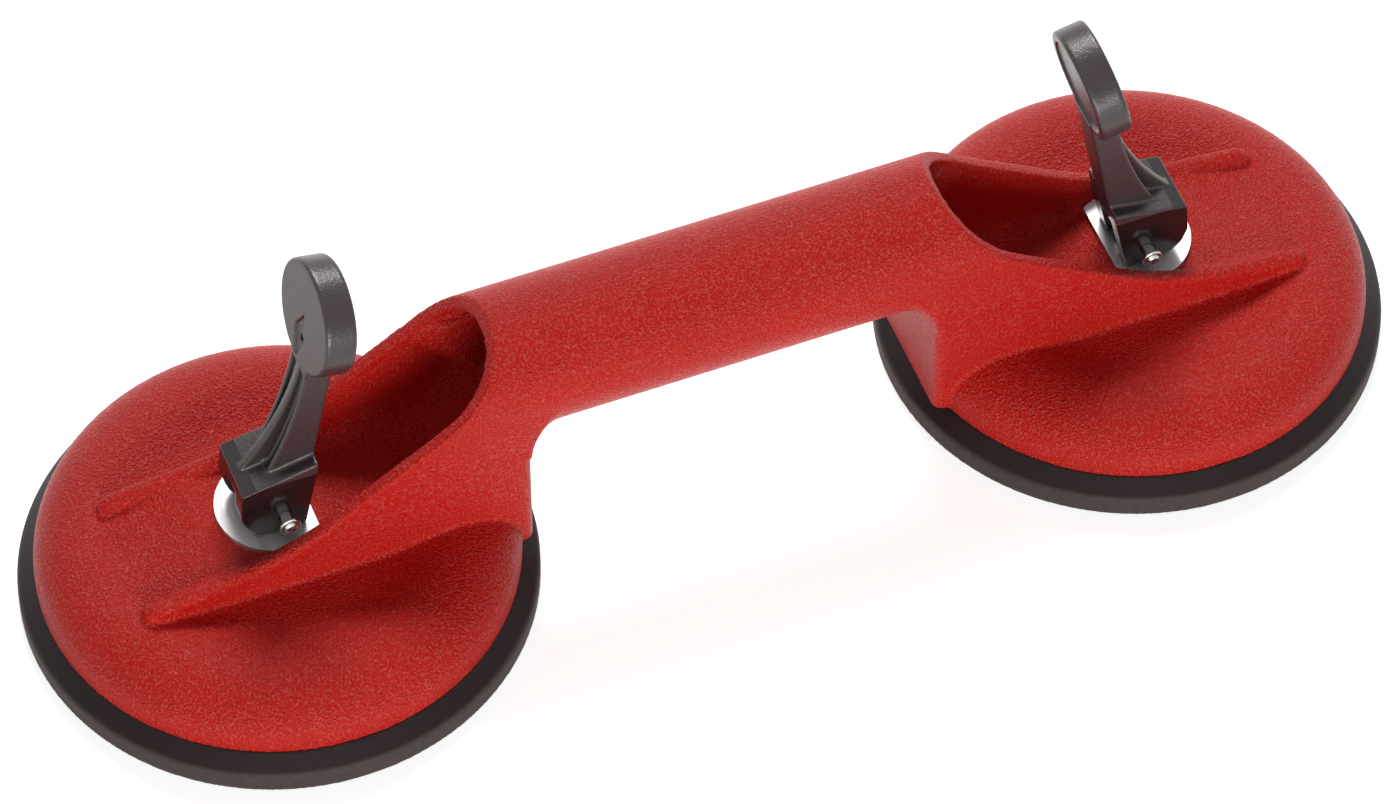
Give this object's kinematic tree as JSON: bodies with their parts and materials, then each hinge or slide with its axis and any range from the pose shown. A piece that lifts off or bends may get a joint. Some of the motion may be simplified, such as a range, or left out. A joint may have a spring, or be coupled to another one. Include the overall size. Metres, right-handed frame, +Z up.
{
  "type": "double-cup suction lifter",
  "caption": "Hand-held suction lifter for floor tiles: a tubular handle joins two domed housings, each with a rubber suction disc pulled up by a folding cam lever.",
  "frame": {"origin": "on the floor below the middle of the handle, where the suction discs' contact rims lie in Z = 0", "axes": "+X along the handle from the left cup to the right one, +Z up from the surface that is gripped, +Y away from the side the levers are seen from"},
  "size_m": [0.3264, 0.118, 0.1024],
  "materials": {
    "housing_plastic": "red moulded plastic with a fine satin grain",
    "rubber": "dark rubber, lightly scuffed side",
    "insert_steel": "plain zinc-plated steel",
    "stud_steel": "turned zinc-plated steel",
    "pin_steel": "bright drawn steel",
    "ring_steel": "bright spring steel",
    "plate_chrome": "polished chrome",
    "lever_plastic": "near-black glossy plastic, arm with fine grain"
  },
  "bodies": {
    "frame": {"housing_handle": "housing_plastic", "left_suction_disc": "rubber", "left_wear_plate": "plate_chrome", "right_suction_disc": "rubber", "right_wear_plate": "plate_chrome"},
    "left_stud_set": {"left_disc_insert": "insert_steel", "left_draw_stud": "stud_steel", "left_cross_pin": "pin_steel", "left_pin_rings": "ring_steel"},
    "left_lever": {"left_cam_lever": "lever_plastic"},
    "right_stud_set": {"right_disc_insert": "insert_steel", "right_draw_stud": "stud_steel", "right_cross_pin": "pin_steel", "right_pin_rings": "ring_steel"},
    "right_lever": {"right_cam_lever": "lever_plastic"}
  },
  "joints": [
    {"name": "left_stud_lift", "type": "slide", "parent": "frame", "child": "left_stud_set", "axis": [0, 0, 1], "range_m": [0, 0.0059], "deforming": ["left_suction_disc"]},
    {"name": "left_lever_fold", "type": "hinge", "parent": "left_stud_set", "child": "left_lever", "pos_m": [-0.1042, 0, 0.033], "axis": [0, -1, 0], "range_deg": [0, 95]},
    {"name": "right_stud_lift", "type": "slide", "parent": "frame", "child": "right_stud_set", "axis": [0, 0, 1], "range_m": [0, 0.0059], "deforming": ["right_suction_disc"]},
    {"name": "right_lever_fold", "type": "hinge", "parent": "right_stud_set", "child": "right_lever", "pos_m": [0.1042, 0, 0.033], "axis": [0, 1, 0], "range_deg": [0, 95]}
  ],
  "couplings": [
    {"joint": "left_lever_fold", "follows": "left_stud_lift", "rad_per_m": 281.03},
    {"joint": "right_lever_fold", "follows": "right_stud_lift", "rad_per_m": 281.03}
  ]
}
